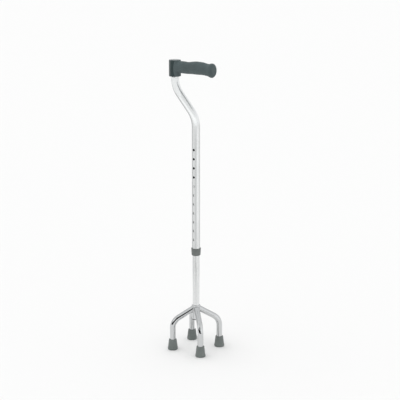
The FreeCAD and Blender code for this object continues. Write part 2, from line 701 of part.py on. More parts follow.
def tip(name, heading):
    """The rubber tip on a leg's end, and the steel disc that keeps the tube from cutting it."""
    place = [f"foot_square / sqrt(2) * {along}({heading} deg)" for along in ("cos", "sin")]
    body = new_body(f"tip_{name}", (*place, "0"))
    turned = revolve(body, tip_outline())
    round_edges(body, turned, (0.0,), "tip_round", "SoleRound")
    disc = new_body(f"tip_disc_{name}", (*place, "tip_floor"))
    ring_pad(disc, "leg_od / 2 - fit_gap", "disc_hole / 2", "disc_thick")


# ---- build, check and write ---------------------------------------------------------------------

for make in (
    lower_tube, lower_tube_plug, upper_tube, collar, collar_bush, snap_button, button_spring,
    handle_core, hub_cap, handle_screw, tube_insert, grip_sleeve,
    base_sleeve, sleeve_plug, sleeve_rivet, weld_fillet,
):
    make()
for leg_name, leg_heading in LEGS:
    leg(leg_name, leg_heading)
    tip(leg_name, leg_heading)
doc.recompute()

for thing in doc.Objects:
    if "Invalid" in thing.State or "Error" in thing.State:
        raise SystemExit(f"{thing.Label} failed: {thing.State}")
for part in parts:
    if part.Shape.isNull() or not part.Shape.isValid() or not part.Shape.Solids:
        raise SystemExit(f"{part.Label} has no valid solid")

os.makedirs("parts", exist_ok=True)
for part in parts:
    part.Shape.exportStep(f"parts/{part.Label}.step")
    box = part.Shape.BoundBox
    print(f"{part.Label}: {len(part.Shape.Solids)} solid, {part.Shape.Volume:.0f} mm3,"
          f" z {box.ZMin:.2f} to {box.ZMax:.2f}")
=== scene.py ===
import json
from math import acos, asin, cos, degrees, hypot, pi, radians, sin, sqrt, tan

import bpy
from mathutils import Matrix, Vector


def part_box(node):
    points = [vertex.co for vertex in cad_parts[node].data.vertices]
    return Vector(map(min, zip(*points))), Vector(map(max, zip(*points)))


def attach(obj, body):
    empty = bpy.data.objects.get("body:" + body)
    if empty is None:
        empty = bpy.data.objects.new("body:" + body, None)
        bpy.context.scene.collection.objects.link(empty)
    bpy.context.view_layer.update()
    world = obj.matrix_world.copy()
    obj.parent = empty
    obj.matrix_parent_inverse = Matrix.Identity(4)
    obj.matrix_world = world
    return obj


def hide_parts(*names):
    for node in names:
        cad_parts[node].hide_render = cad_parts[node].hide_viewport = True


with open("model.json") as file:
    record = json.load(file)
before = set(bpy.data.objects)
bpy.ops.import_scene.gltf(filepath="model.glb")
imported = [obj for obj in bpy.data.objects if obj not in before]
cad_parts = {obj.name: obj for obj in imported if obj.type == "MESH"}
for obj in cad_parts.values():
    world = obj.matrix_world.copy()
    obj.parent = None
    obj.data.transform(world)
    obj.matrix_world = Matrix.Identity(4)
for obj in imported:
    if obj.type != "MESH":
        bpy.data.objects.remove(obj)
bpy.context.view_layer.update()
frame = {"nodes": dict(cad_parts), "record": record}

nodes = frame["nodes"]

# Quad walking cane. Metres, Z up, +X towards the end of the grip, -Y the side of the height holes.
MM = 0.001
MICRON = 0.001 * MM

# Sizes repeated from the CAD model.
UPPER_R, UPPER_WALL = 11.1 * MM, 1.2 * MM
LOWER_R, LOWER_WALL = 9.525 * MM, 1.25 * MM
NECK_OFFSET, NECK_START, NECK_TILT, NECK_BEND = 69.4 * MM, 637.5 * MM, radians(41.0), 68.0 * MM
HOLE_R, HOLE_PITCH, HOLE_LOW, HOLE_COUNT = 3.3 * MM, 25.4 * MM, 321.8 * MM, 11
BUTTON_Z, BUTTON_R = 474.2 * MM, 3.1 * MM
LEG_R, LEG_WALL, LEG_SLOPE, LEG_APEX, LEG_BEND = 8.0 * MM, 1.2 * MM, radians(30.8), 123.2 * MM, 35.0 * MM
SLEEVE_R, WELD = 11.5 * MM, 1.6 * MM
STANCE = 95.0 * MM / sqrt(2)
HUB_R = 16.2 * MM
GRIP_AXIS_Z = 797.0 * MM
FIT_GAP, BUTTON_PLAY = 0.05 * MM, 0.08 * MM
LEGS = {"front_right": -45.0, "rear_right": 45.0, "rear_left": 135.0, "front_left": 225.0}

# Grip sections: distance from the hub's axis, height, width, drop of the centre (millimetres).
GRIP_SECTIONS = (
    (6.0, 32.0, 28.4, -0.1),
    (18.0, 32.4, 28.8, 0.0),
    (30.0, 32.9, 29.2, 0.4),
    (44.0, 32.1, 28.8, 0.8),
    (60.0, 33.7, 29.8, -0.6),
    (70.0, 35.0, 31.2, -1.0),
    (80.0, 34.8, 31.2, -1.0),
    (92.0, 33.8, 30.2, -0.8),
    (104.0, 32.6, 29.2, 0.8),
    (112.0, 33.4, 30.0, 1.8),
    (120.0, 38.2, 34.0, 2.3),
    (128.5, 35.8, 31.9, 2.3),
)

# Only in this model. The round of the grip's end, and the small round where it meets the hub.
GRIP_ROUND, ROOT_ROUND = 6.5 * MM, 2.0 * MM
# The grip's apron on the hub: how far it stands out, how far round it reaches from the front at its
# middle, and how much less at its top and bottom.
WRAP_PROUD, WRAP_HALF, WRAP_CURVE = 0.3 * MM, radians(71.0), radians(18.0)
# The last short run of a tube, where its cut edges are broken, and how far they are drawn in.
EDGE, EDGE_BREAK = 0.35 * MM, 0.21 * MM
HOLE_BREAK = 0.22 * MM
TUBE_SIDES, HANDLE_SIDES = 64, 96
PATCH = 6       # the mesh round a hole reaches this many cells each way

# The camera's place, in degrees round from -Y towards +X.
VIEW_AZIMUTH = 34.6


# ---- materials ----------------------------------------------------------------------------------

class Shader:
    """A Principled material and short ways to add nodes to it."""

    def __init__(self, name, colour, roughness, metallic=0.0, **sockets):
        self.material = bpy.data.materials.new(name)
        self.material.use_nodes = True
        self.tree = self.material.node_tree
        self.bsdf = self.tree.nodes["Principled BSDF"]
        self.bsdf.inputs["Base Color"].default_value = (*colour, 1.0)
        self.bsdf.inputs["Roughness"].default_value = roughness
        self.bsdf.inputs["Metallic"].default_value = metallic
        for socket, value in sockets.items():
            self.bsdf.inputs[socket.replace("_", " ")].default_value = value
        self.height = None

    def node(self, kind, **settings):
        made = self.tree.nodes.new(kind)
        for key, value in settings.items():
            if isinstance(value, bpy.types.NodeSocket):
                self.tree.links.new(value, made.inputs[key])
            elif key in made.inputs:
                made.inputs[key].default_value = value
            else:
                setattr(made, key, value)
        return made

    def coordinates(self, along_piece, stretch):
        """Object coordinates, or the piece's own around-and-along ones, stretched."""
        kind = "ShaderNodeUVMap" if along_piece else "ShaderNodeTexCoord"
        source = self.node(kind).outputs["UV" if along_piece else "Object"]
        return self.node("ShaderNodeMapping", Vector=source, Scale=stretch).outputs["Vector"]

    def noise(self, scale, detail=3.0, stretch=(1.0, 1.0, 1.0), along_piece=False, roughness=0.5):
        where = self.coordinates(along_piece, stretch)
        return self.node(
            "ShaderNodeTexNoise", Vector=where, Scale=scale, Detail=detail, Roughness=roughness
        ).outputs["Fac"]

    def cells(self, scale):
        where = self.coordinates(False, (1.0, 1.0, 1.0))
        return self.node("ShaderNodeTexVoronoi", Vector=where, Scale=scale).outputs["Distance"]

    def spread(self, factor, low, high, start=0.3, end=0.7):
        """A number that goes from low to high while the factor goes from start to end."""
        made = self.node("ShaderNodeMapRange", Value=factor)
        for socket, value in (("From Min", start), ("From Max", end), ("To Min", low), ("To Max", high)):
            made.inputs[socket].default_value = value
        return made.outputs["Result"]

    def times(self, a, b):
        made = self.node("ShaderNodeMath", operation="MULTIPLY")
        self.tree.links.new(a, made.inputs[0])
        self.tree.links.new(b, made.inputs[1])
        return made.outputs["Value"]

    def tint(self, factor, colour_a, colour_b):
        """The base colour goes from one colour to the other with the factor."""
        made = self.node("ShaderNodeMix", data_type="RGBA")
        self.tree.links.new(factor, made.inputs["Factor"])
        slots = [socket for socket in made.inputs if socket.type == "RGBA"]
        slots[0].default_value = (*colour_a, 1.0)
        slots[1].default_value = (*colour_b, 1.0)
        result = [socket for socket in made.outputs if socket.type == "RGBA"][0]
        self.tree.links.new(result, self.bsdf.inputs["Base Color"])

    def rough(self, value):
        self.tree.links.new(value, self.bsdf.inputs["Roughness"])

    def bump(self, height, depth, strength=1.0):
        made = self.node("ShaderNodeBump", Height=height, Distance=depth, Strength=strength)
        if self.height is not None:
            self.tree.links.new(self.height, made.inputs["Normal"])
        self.height = made.outputs["Normal"]
        self.tree.links.new(self.height, self.bsdf.inputs["Normal"])


def satin_tube():
    """Anodised aluminium: fine draw lines along the tube, faint rubbing and clouding."""
    shader = Shader("satin_tube", (0.76, 0.77, 0.77), 0.26, 1.0)
    lines = shader.noise(1.0, 2.0, (3200.0, 14.0, 1.0), along_piece=True)
    broad = shader.noise(1.0, 3.0, (420.0, 6.0, 1.0), along_piece=True)
    cloud = shader.noise(22.0, 4.0)
    shader.rough(shader.spread(shader.times(lines, broad), 0.2, 0.3, 0.12, 0.4))
    shader.tint(shader.spread(cloud, 0.0, 1.0), (0.73, 0.74, 0.74), (0.79, 0.80, 0.80))
    shader.bump(lines, 10 * MICRON, 0.35)
    shader.bump(broad, 30 * MICRON, 0.25)
    return shader.material


def shaded_tube_bore(name, colour):
    """The inside of a tube, as drawn: dull, with long streaks. Its dark colour is painted shade, for the
    shade inside the bore and on the holes' walls.
    """
    shader = Shader(name, colour, 0.6, 1.0)
    streaks = shader.noise(1.0, 3.0, (900.0, 9.0, 1.0), along_piece=True)
    shader.rough(shader.spread(streaks, 0.5, 0.7))
    shader.bump(streaks, 40 * MICRON, 0.5)
    return shader.material


def chrome():
    """Bright plate over bent tube: slow ripples, a few hairline scratches, faint haze."""
    shader = Shader("chrome", (0.61, 0.62, 0.625), 0.06, 1.0)
    ripple = shader.noise(1.0, 2.0, (60.0, 26.0, 1.0), along_piece=True)
    hairs = shader.noise(1.0, 2.0, (900.0, 70.0, 1.0), along_piece=True)
    haze = shader.noise(35.0, 4.0)
    shader.rough(shader.spread(haze, 0.03, 0.09))
    shader.bump(ripple, 100 * MICRON, 0.4)
    shader.bump(shader.spread(hairs, 0.0, 1.0, 0.66, 0.72), 4 * MICRON, 0.4)
    return shader.material


def plated_weld():
    """A weld under the plate: uneven, so its shine is broken up."""
    shader = Shader("plated_weld", (0.58, 0.585, 0.59), 0.3, 1.0)
    lumps = shader.noise(420.0, 3.0)
    shader.rough(shader.spread(lumps, 0.22, 0.42))
    shader.bump(lumps, 150 * MICRON, 0.5)
    return shader.material


def steel(name, colour, low, high):
    """Zinc-plated or polished pressed steel, with fine random grain."""
    shader = Shader(name, colour, low, 1.0)
    grain = shader.noise(900.0, 4.0)
    shader.rough(shader.spread(grain, low, high))
    shader.bump(grain, 20 * MICRON, 0.3)
    return shader.material


def moulded(name, colour, roughness, texture_depth, texture_scale, specular=0.4, sheen=0.0):
    """Moulded plastic or rubber: a spark-eroded grain, slow shading of colour, soft gloss.
    texture_depth is the grain's height, and texture_scale is how fine it is."""
    shader = Shader(name, colour, roughness, Specular_IOR_Level=specular, Sheen_Weight=sheen)
    grain = shader.noise(texture_scale, 3.0, roughness=0.6)
    pits = shader.cells(texture_scale * 0.9)
    flow = shader.noise(38.0, 4.0)
    shading = 1.14
    lighter = [channel * shading for channel in colour]
    darker = [channel / shading for channel in colour]
    shader.tint(shader.spread(flow, 0.0, 1.0), darker, lighter)
    shader.rough(shader.spread(shader.times(flow, grain), roughness - 0.07, roughness + 0.08, 0.1, 0.45))
    shader.bump(grain, texture_depth, 0.6)
    shader.bump(pits, texture_depth * 0.7, 0.4)
    return shader.material


MATERIALS = {
    "satin_tube": satin_tube(),
    # satin_bore and chrome_bore: dark colours that are painted shade, for the shade inside the tubes and
    # on the holes' walls.
    "satin_bore": shaded_tube_bore("satin_bore", (0.12, 0.12, 0.12)),
    "chrome": chrome(),
    "chrome_bore": shaded_tube_bore("chrome_bore", (0.15, 0.15, 0.155)),
    "plated_weld": plated_weld(),
    "steel": steel("steel", (0.58, 0.585, 0.59), 0.3, 0.48),
    "button_steel": steel("button_steel", (0.66, 0.665, 0.67), 0.16, 0.28),
    "grey_plastic": moulded("grey_plastic", (0.134, 0.146, 0.141), 0.5, 30 * MICRON, 1500.0),
    "tip_rubber": moulded("tip_rubber", (0.145, 0.163, 0.156), 0.66, 60 * MICRON, 1100.0, sheen=0.08),
    "black_plastic": moulded("black_plastic", (0.026, 0.026, 0.028), 0.45, 30 * MICRON, 1500.0),
    "handle_plastic": moulded("handle_plastic", (0.0215, 0.0385, 0.0395), 0.25, 20 * MICRON, 1500.0, 0.55),
    "grip_rubber": moulded("grip_rubber", (0.062, 0.085, 0.088), 0.62, 50 * MICRON, 1300.0, 0.3, 0.05),
}
# The finish of each CAD piece, from the slot that the record gives it.
SLOT_OF = {part["node"]: part["material_slot"] for part in frame["record"]["subparts"]}
for name, part in nodes.items():
    part.data.materials.clear()
    part.data.materials.append(MATERIALS[SLOT_OF[name]])


# ---- mesh building ------------------------------------------------------------------------------

class Line:
    """A line of straight runs and bends in one upright plane, such as a bent tube's centre."""

    def __init__(self, start, heading=0.0, pitch=pi / 2):
        self.side = Vector((sin(radians(heading)), -cos(radians(heading)), 0.0))
        self.out = Vector((cos(radians(heading)), sin(radians(heading)), 0.0))
        self.point, self.pitch, self.travel = Vector(start), pitch, 0.0
        self.stations = [self.station()]

    def along(self):
        return self.out * cos(self.pitch) + Vector((0.0, 0.0, sin(self.pitch)))

    def across(self):
        return self.out * sin(self.pitch) - Vector((0.0, 0.0, cos(self.pitch)))

    def station(self):
        return self.point.copy(), self.across(), self.along(), self.travel

    def run(self, length, steps=1):
        for _ in range(steps):
            self.point += self.along() * (length / steps)
            self.travel += length / steps
            self.stations.append(self.station())
        return self

    def bend(self, radius, turn, steps=24):
        """Turn upwards by an angle, or downwards if it is negative."""
        step = turn / steps
        for _ in range(steps):
            chord = 2 * radius * sin(abs(step) / 2)
            self.pitch += step / 2
            self.point += self.along() * chord
            self.pitch += step / 2
            self.travel += radius * abs(step)
            self.stations.append(self.station())
        return self


class Shell:
    """A mesh made face by face, each corner with its own normal and its own place on the surface."""

    def __init__(self):
        self.points, self.faces, self.normals, self.places, self.slots = [], [], [], [], []

    def ring(self, points):
        first = len(self.points)
        self.points.extend(points)
        return list(range(first, first + len(points)))

    def face(self, corners, normals, places, slot=0):
        self.faces.append(corners)
        self.normals.extend(normals)
        self.places.extend(places)
        self.slots.append(slot)

    def piece(self, name, body, slots, *replaced):
        mesh = bpy.data.meshes.new(name)
        mesh.from_pydata(self.points, [], self.faces)
        layer = mesh.uv_layers.new(name="Surface")
        layer.data.foreach_set("uv", [number for place in self.places for number in place])
        mesh.polygons.foreach_set("use_smooth", [True] * len(self.faces))
        mesh.polygons.foreach_set("material_index", self.slots)
        mesh.normals_split_custom_set([normal.normalized() for normal in self.normals])
        for slot in slots:
            mesh.materials.append(MATERIALS[slot])
        made = bpy.data.objects.new(name, mesh)
        bpy.context.scene.collection.objects.link(made)
        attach(made, body)
        if replaced:
            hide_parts(*replaced)
        return made


def joint_normals(profile, sharp=38.0):
    """For each edge of a closed profile, its normals at both ends: its own at a joint of more than the
    sharp angle, and one shared normal at a gentler joint, where the longer edge counts for more."""
    count = len(profile)
    straight, lengths = [], []
    for i in range(count):
        (s0, r0), (s1, r1) = profile[i], profile[(i + 1) % count]
        length = max(hypot(s1 - s0, r1 - r0), 1e-9)
        straight.append(((r0 - r1) / length, (s1 - s0) / length))
        lengths.append(length)

    def shared(i, j):
        (a, b), (c, d) = straight[i], straight[j]
        if degrees(acos(max(-1.0, min(1.0, a * c + b * d)))) > sharp:
            return straight[i]
        wa, wb = lengths[i] ** 2, lengths[j] ** 2
        return ((a * wa + c * wb) / (wa + wb), (b * wa + d * wb) / (wa + wb))

    return [(shared(i, (i - 1) % count), shared(i, (i + 1) % count)) for i in range(count)]


def fillet(corner, before, after, radius, steps=4):
    """Points of a round between two straight edges of a profile."""
    c, a, b = Vector(corner), Vector(before), Vector(after)
    towards_a, towards_b = (a - c).normalized(), (b - c).normalized()
    half = acos(max(-1.0, min(1.0, towards_a.dot(towards_b)))) / 2
    reach = radius / tan(half)
    centre = c + (towards_a + towards_b).normalized() * (radius / sin(half))
    start, end = c + towards_a * reach - centre, c + towards_b * reach - centre
    turn = start.angle_signed(end)
    points = []
    for k in range(steps + 1):
        points.append(centre + Matrix.Rotation(-turn * k / steps, 2) @ start)
    return [(point.x, point.y) for point in points]


def rounded(*corners):
    """A closed profile from corners (along, radius) or (along, radius, rounding), in millimetres."""
    points, count = [], len(corners)
    for i, corner in enumerate(corners):
        s, r = corner[0] * MM, corner[1] * MM
        if len(corner) == 2:
            points.append((s, r))
            continue
        before, after = corners[i - 1], corners[(i + 1) % count]
        points += fillet(
            (s, r), (before[0] * MM, before[1] * MM), (after[0] * MM, after[1] * MM), corner[2] * MM
        )
    return points


def skin(shell, loop, sides, left_out=None, slot_of=None):
    """Close a skin round a line. The loop lists (centre, u, v, along, s, r): a ring of radius r about
    the centre, from u towards v, at the distance s along the line. left_out(j, i) says whether a cell
    stays open, and slot_of(j) gives the finish of a row of cells. Returns the rings' points."""
    normals = joint_normals([(s, r) for *_, s, r in loop])
    rings = []
    for centre, u, v, _, _, r in loop:
        count = sides if r > 1e-7 else 1
        angles = [2 * pi * i / sides for i in range(count)]
        rings.append(shell.ring([centre + (u * cos(a) + v * sin(a)) * r for a in angles]))
    for j, ends in enumerate(normals):
        pair = (j, (j + 1) % len(loop))
        if all(len(rings[k]) == 1 for k in pair):
            continue
        width = max(loop[k][5] for k in pair)
        for i in range(sides):
            if left_out and left_out(j, i):
                continue
            corners = []
            for side, step in ((0, i), (0, i + 1), (1, i + 1), (1, i)):
                k, (ns, nr) = pair[side], ends[side]
                index = rings[k][step % len(rings[k])]
                if any(index == corner[0] for corner in corners):
                    continue
                _, u, v, along, travel, _ = loop[k]
                a = 2 * pi * step / sides
                corners.append((index, along * ns + (u * cos(a) + v * sin(a)) * nr, (a * width, travel)))
            shell.face(*(list(column) for column in zip(*corners)), slot_of(j) if slot_of else 0)
    return rings


def turned(name, body, slots, origin, profile, *replaced, sides=64, sideways=False):
    """Turn a closed profile of (along, radius) about an upright axis, or sideways about -Y."""
    if sideways:
        along, u, v = Vector((0, -1, 0)), Vector((1, 0, 0)), Vector((0, 0, 1))
    else:
        along, u, v = Vector((0, 0, 1)), Vector((1, 0, 0)), Vector((0, 1, 0))
    shell = Shell()
    skin(shell, [(Vector(origin) + along * s, u, v, along, s, r) for s, r in profile], sides)
    return shell.piece(name, body, slots, *replaced)


def slid(point, along, radius):
    """The point moved along a direction until it is at a distance from the shaft's axis."""
    a = along.x ** 2 + along.y ** 2
    b = point.x * along.x + point.y * along.y
    c = point.x ** 2 + point.y ** 2 - radius ** 2
    return point + along * ((sqrt(b * b - a * c) - b) / a)


def bent_tube(name, body, slots, line, outer, inner, *replaced, holes=(), hole_r=HOLE_R, onto=None):
    """A round tube along a line, with holes in its -Y side at the given heights of its straight part.
    The slots are the finishes outside and inside; the inside one is dark with painted shade. The edges of
    the cut ends are broken.
    onto: the radius of an upright cylinder that the tube's start is cut to."""
    sides = TUBE_SIDES
    cell = 2 * pi * outer / sides
    stations = []
    for station, following in zip(line.stations, line.stations[1:] + [None]):
        stations.append(station)
        for height in holes:
            if following and station[0].z < height < following[0].z:
                for k in range(-PATCH, PATCH + 1):
                    point = Vector((station[0].x, station[0].y, height + k * cell))
                    stations.append((point, station[1], station[2], station[3] + point.z - station[0].z))
    last = len(stations) - 1

    def entry(i, radius, inward):
        point, across, along, travel = stations[i]
        edge = EDGE_BREAK * inward if i in (0, last) else 0.0
        return point, line.side, across, along, travel, radius - edge

    count = len(stations)
    loop = [entry(i, outer, 1) for i in range(count)]
    loop += [entry(i, inner, -1) for i in reversed(range(count))]

    def hole_at(j):
        i = j if j < count else 2 * count - 2 - j
        lower = min(stations[i][0].z, stations[min(i + 1, last)][0].z)
        for height in holes:
            if height - (PATCH + 0.01) * cell < lower < height + (PATCH - 0.5) * cell:
                return height
        return None

    def left_out(j, i):
        return hole_at(j) is not None and (i < PATCH or i >= sides - PATCH)

    shell = Shell()
    # The inner rows take the second slot, the dark inside finish with its painted shade.
    rings = skin(shell, loop, sides, left_out, lambda j: int(j >= count))
    if onto:
        for ring, radius in ((0, onto), (-1, onto), (1, onto + EDGE), (-2, onto + EDGE)):
            for index in rings[ring]:
                shell.points[index] = slid(shell.points[index], stations[0][2], radius)
    for height in holes:
        rows = [i for i in range(count) if abs(stations[i][0].z - height) < (PATCH + 0.1) * cell]
        pierce(shell, rings, rows, count, height, outer, inner, hole_r, line, cell, sides)
    return shell.piece(name, body, slots, *replaced)


def pierce(shell, rings, rows, count, height, outer, inner, hole_r, line, cell, sides):
    """Fill the opening round a hole, from the outer skin to the inner one: wall, broken edge, the
    hole's own wall, inner wall."""
    axis = line.stations[0][0]
    corners = [(c, -PATCH) for c in range(-PATCH, PATCH)]
    corners += [(PATCH, k) for k in range(-PATCH, PATCH)]
    corners += [(c, PATCH) for c in range(PATCH, -PATCH, -1)]
    corners += [(-PATCH, k) for k in range(PATCH, -PATCH, -1)]
    turns = [Vector((c, k)) for c, k in corners]

    def boundary(inside):
        found = []
        for c, k in corners:
            row = rows[k + PATCH]
            found.append(rings[2 * count - 1 - row if inside else row][c % sides])
        return found

    def spot(turn, rho, radius, share=1.0):
        """Angle and height of a point rho from the hole's axis, or part of the way out to the boundary."""
        unit = turn.normalized()
        a = asin(rho * unit.x / radius)
        edge = turn * cell
        return a * share + edge.x / outer * (1 - share), (rho * unit.y) * share + edge.y * (1 - share)

    def radial(a):
        return line.side * cos(a) + line.out * sin(a)

    layers = [(boundary(False), None)]
    plan = [(hole_r + HOLE_BREAK, outer, share) for share in (0.34, 0.68, 1.0)]
    plan += [(hole_r, outer - HOLE_BREAK, 1.0), (hole_r, inner, 1.0)]
    plan += [(hole_r, inner, share) for share in (0.68, 0.34)]
    for rho, radius, share in plan:
        spots = [spot(turn, rho, radius, share) for turn in turns]
        points = [Vector((axis.x, axis.y, height + z)) + radial(a) * radius for a, z in spots]
        layers.append((shell.ring(points), spots))
    layers.append((boundary(True), None))
    edge_step, wall_step = 3, 4
    out_to = [(line.out * turn.normalized().x + Vector((0, 0, turn.normalized().y))) for turn in turns]
    for step in range(len(layers) - 1):
        near, far = layers[step], layers[step + 1]
        for m in range(len(turns)):
            n = (m + 1) % len(turns)
            normals, places = [], []
            for layer, index in ((near, m), (near, n), (far, n), (far, m)):
                if layer[1]:
                    a, z = layer[1][index]
                else:
                    a, z = turns[index].x * cell / outer, turns[index].y * cell
                if step == edge_step:
                    normals.append(radial(a) - out_to[index])
                elif step == wall_step:
                    normals.append(-out_to[index])
                else:
                    normals.append(radial(a) if step < edge_step else -radial(a))
                places.append((a * outer, height + z))
            quad = [near[0][m], near[0][n], far[0][n], far[0][m]]
            # The hole's own wall and the inner wall take the dark inside finish: painted shade in the
            # hole.
            shell.face(quad, normals, places, int(step >= wall_step))


# ---- shaft --------------------------------------------------------------------------------------

low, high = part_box("upper_tube")
side_shift = 2 * NECK_BEND * (1 - cos(NECK_TILT))
neck = Line((0, 0, low.z)).run(EDGE).run(NECK_START - low.z - EDGE)
neck.bend(NECK_BEND, NECK_TILT)
neck.run((NECK_OFFSET - side_shift) / sin(NECK_TILT), 6)
neck.bend(NECK_BEND, -NECK_TILT)
neck.run(high.z - neck.point.z - EDGE).run(EDGE)
bent_tube(
    "upper_tube_skin", "upper", ["satin_tube", "satin_bore"], neck,
    UPPER_R, UPPER_R - UPPER_WALL, "upper_tube",
    holes=[HOLE_LOW + HOLE_PITCH * i for i in range(HOLE_COUNT)],
)

low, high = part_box("lower_tube")
straight = Line((0, 0, low.z)).run(EDGE).run(high.z - low.z - 2 * EDGE).run(EDGE)
bent_tube(
    "lower_tube_skin", "base", ["satin_tube", "satin_bore"], straight,
    LOWER_R, LOWER_R - LOWER_WALL, "lower_tube",
    holes=[BUTTON_Z], hole_r=BUTTON_R + BUTTON_PLAY,
)

low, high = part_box("collar")
tall = (high.z - low.z) / MM
bore, ledge, tube_fit = 9.85, 2.0, (UPPER_R + FIT_GAP) / MM
turned("collar_ring", "upper", ["grey_plastic"], (0, 0, low.z), rounded(
    (0, bore, 0.3), (0, 12.3, 2.2), (tall, 13.5, 0.6),
    (tall, tube_fit, 0.25), (ledge, tube_fit), (ledge, bore, 0.3),
), "collar")

low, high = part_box("snap_button")
reach = (high.y - low.y) / MM
pin, flange, flange_thick = BUTTON_R / MM, 3.8, 1.0
turned("snap_button_pin", "button", ["button_steel"], (0, high.y, BUTTON_Z), rounded(
    (0, 0), (0, flange, 0.2), (flange_thick, flange, 0.2),
    (flange_thick, pin), (reach, pin, 1.6), (reach, 0),
), "snap_button", sides=48, sideways=True)


# ---- base ---------------------------------------------------------------------------------------

low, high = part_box("base_sleeve")
tall = (high.z - low.z) / MM
outer, bore = SLEEVE_R / MM, (LOWER_R + FIT_GAP) / MM
turned("base_sleeve_tube", "base", ["chrome"], (0, 0, low.z), rounded(
    (0, bore), (0, outer, 0.3), (tall, outer, 0.4), (tall, bore, 0.3),
), "base_sleeve")

low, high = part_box("sleeve_plug")
tall = (high.z - low.z) / MM
head, dish, spigot = 2.2, 0.5, (LOWER_R - FIT_GAP) / MM
turned("sleeve_plug_cap", "base", ["black_plastic"], (0, 0, low.z), rounded(
    (dish, 0), (dish, 7.0, 0.4), (0, 7.6, 0.4), (0, outer, 1.0),
    (head, outer, 0.2), (head, spigot), (tall, spigot), (tall, 0),
), "sleeve_plug")


def leg(name, heading):
    """A bent leg from the sleeve's wall to the steel disc in its tip."""
    root = SLEEVE_R
    out = Vector((cos(radians(heading)), sin(radians(heading)), 0.0))
    start = out * root + Vector((0, 0, LEG_APEX - root * tan(LEG_SLOPE)))
    turn = pi / 2 - LEG_SLOPE
    tangent = LEG_BEND * tan(turn / 2)
    line = Line(start, heading, -LEG_SLOPE)
    line.run(EDGE).run((STANCE - root) / cos(LEG_SLOPE) - tangent - EDGE).bend(LEG_BEND, -turn)
    line.run(line.point.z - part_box(f"leg_{name}")[0].z - EDGE).run(EDGE)
    bent_tube(
        f"leg_{name}_tube", "base", ["chrome", "chrome_bore"], line,
        LEG_R, LEG_R - LEG_WALL, f"leg_{name}", onto=root,
    )


def tip(name):
    """A rubber tip with a foot ring, a soft lip round the leg and tread rings in its sole."""
    low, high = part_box(f"tip_{name}")
    centre = (low + high) / 2
    tall = (high.z - low.z) / MM
    middle = (0.8, 0), (0.8, 3.0, 0.4), (0, 3.8, 0.4)
    inner_tread = (0, 6.0, 0.3), (1.2, 6.0), (1.2, 8.5), (0, 8.5, 0.3)
    outer_tread = (0, 9.8, 0.3), (0.7, 10.3, 0.2), (0.7, 11.0, 0.2), (0, 11.5, 0.3)
    foot_ring = (0, 14.29, 1.6), (5.6, 14.29, 0.7), (6.3, 13.65, 0.5)
    lip = (tall - 2.6, 11.2, 1.0), (tall - 1.9, 10.9, 1.0), (tall, 10.6, 0.8)
    socket = (tall, 8.02, 0.5), (6.0, 8.02), (6.0, 0)
    profile = rounded(*middle, *inner_tread, *outer_tread, *foot_ring, *lip, *socket)
    turned(
        f"tip_{name}_rubber", "base", ["tip_rubber"], (centre.x, centre.y, low.z), profile, f"tip_{name}"
    )


def weld_bead(shell, heading):
    """The bead round a leg's root: overlapping scales laid along the joint of leg and sleeve."""
    line = Line((0, 0, LEG_APEX), heading, -LEG_SLOPE)
    steps, facets, scales = 192, 12, 24
    bead, dip, proud = 0.8 * WELD, 0.16, 0.1 * MM
    rings = []
    for i in range(steps):
        a = 2 * pi * i / steps
        around = line.side * cos(a) - line.across() * sin(a)
        joint = slid(line.point + around * LEG_R, line.along(), SLEEVE_R)
        wall = Vector((joint.x, joint.y, 0)).normalized()
        up = wall.cross(around.cross(wall)).normalized()
        radius = bead * (1.0 - dip * abs(sin(a * scales / 2)) ** 3)
        spokes = [up * cos(2 * pi * k / facets) + wall * sin(2 * pi * k / facets) for k in range(facets)]
        centre = joint + (around + wall) * proud
        rings.append((shell.ring([centre + spoke * radius for spoke in spokes]), spokes))
    for i in range(steps):
        for k in range(facets):
            following, beside = (i + 1) % steps, (k + 1) % facets
            quad = [(i, k), (i, beside), (following, beside), (following, k)]
            shell.face(
                [rings[x][0][y] for x, y in quad], [rings[x][1][y] for x, y in quad],
                [(x * 0.3 * MM, y * 0.5 * MM) for x, y in quad],
            )


weld = Shell()
for leg_name, leg_heading in LEGS.items():
    leg(leg_name, leg_heading)
    tip(leg_name)
    weld_bead(weld, leg_heading)
weld.piece("weld_beads", "base", ["plated_weld"], "weld_fillet")


# ---- handle -------------------------------------------------------------------------------------

hub_low, hub_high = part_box("handle_core")
hub_tall = (hub_high.z - hub_low.z) / MM
HUB_AT = Vector((-NECK_OFFSET, 0, hub_low.z))
cap_low, cap_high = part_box("hub_cap")
hub_r, cap_bore, head_bore, screw_bore = HUB_R / MM, 13.45, 5.05, 2.7
cap_seat, head_seat, tube_stop = (cap_low.z - hub_low.z) / MM, 33.7, 28.75
turned("handle_hub", "upper", ["handle_plastic"], HUB_AT, rounded(
    (0, tube_fit, 0.5), (0, hub_r, 0.9), (hub_tall, hub_r, 0.9), (hub_tall, cap_bore, 0.25),
    (cap_seat, cap_bore), (cap_seat, head_bore), (head_seat, head_bore), (head_seat, screw_bore),
    (tube_stop, screw_bore), (tube_stop, tube_fit),
), "handle_core", sides=HANDLE_SIDES)

cap_tall = (cap_high.z - cap_low.z) / MM
cap_r, flat = cap_bore - 0.1, cap_tall - 0.1
turned("hub_cap_disc", "upper", ["handle_plastic"], (-NECK_OFFSET, 0, cap_low.z), rounded(
    (0, 0), (0, cap_r), (cap_tall - 0.8, cap_r, 0.3), (flat, 12.4, 0.9), (flat, 6.0, 2.0), (cap_tall, 0),
), "hub_cap", sides=HANDLE_SIDES)


